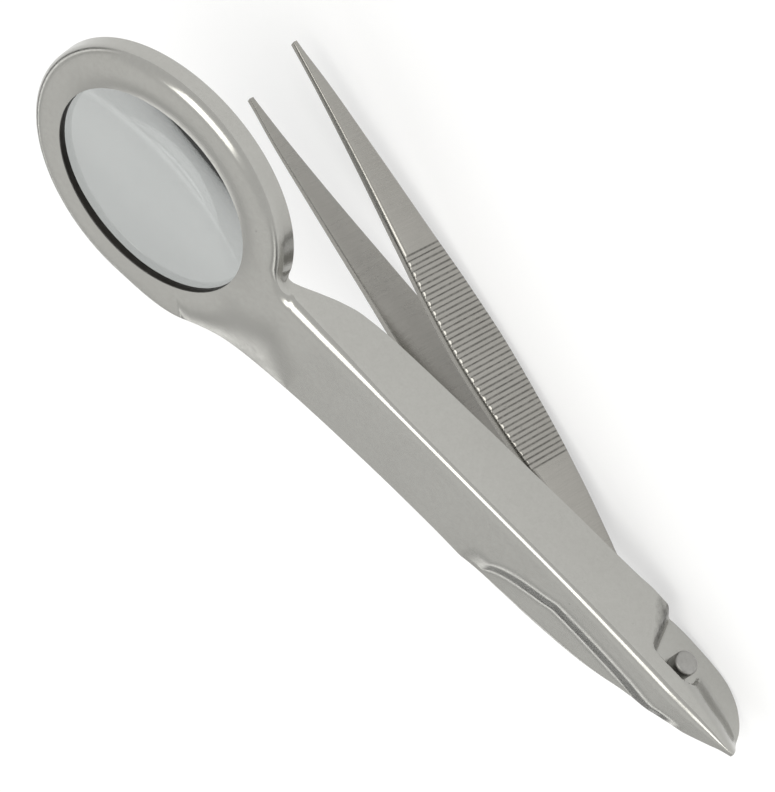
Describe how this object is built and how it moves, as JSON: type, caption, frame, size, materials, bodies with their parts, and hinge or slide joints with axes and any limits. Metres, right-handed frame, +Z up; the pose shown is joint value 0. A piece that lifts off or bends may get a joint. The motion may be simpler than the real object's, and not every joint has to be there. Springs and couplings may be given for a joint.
{
  "type": "folding magnifier tweezers",
  "caption": "Pointed spring-steel tweezers with a riveted swing-out magnifier: a lens in a pressed sheet ring and handle that turns on the butt of the two bowed arms.",
  "frame": {"origin": "the rivet axis where it meets the outer face of the back strip's butt", "axes": "+X along the strips towards the tips, +Z up on the side of the lens, +Y out of the butt's back face along the rivet"},
  "size_m": [0.0896, 0.0308, 0.0253],
  "materials": {
    "spring_steel": "fine cross-brushed stainless spring steel",
    "rivet_steel": "turned stainless steel",
    "frame_steel": "satin pressed stainless sheet",
    "lens_glass": "polished clear optical glass",
    "keeper_steel": "plain stainless wire stock"
  },
  "bodies": {
    "butt": {"butt_front": "spring_steel", "butt_back": "spring_steel", "rivet": "rivet_steel", "washer": "rivet_steel"},
    "front_arm": {"arm_front": "spring_steel"},
    "back_arm": {"arm_back": "spring_steel"},
    "magnifier": {"lens_frame": "frame_steel", "lens": "lens_glass", "lens_keeper": "keeper_steel"}
  },
  "joints": [
    {"name": "front_arm_flex", "type": "hinge", "parent": "butt", "child": "front_arm", "pos_m": [0.008, -0.0013, 0], "axis": [0, 0, 1], "range_deg": [0, 4.9], "stiffness_Nm_per_rad": 0.6},
    {"name": "back_arm_flex", "type": "hinge", "parent": "butt", "child": "back_arm", "pos_m": [0.008, -0.0013, 0], "axis": [0, 0, -1], "range_deg": [0, 4.9], "stiffness_Nm_per_rad": 0.6},
    {"name": "magnifier_swing", "type": "hinge", "parent": "butt", "child": "magnifier", "pos_m": [0, 0, 0], "axis": [0, -1, 0], "range_deg": [0, 165]}
  ],
  "couplings": [
    {"joint": "back_arm_flex", "follows": "front_arm_flex", "ratio": 1}
  ]
}
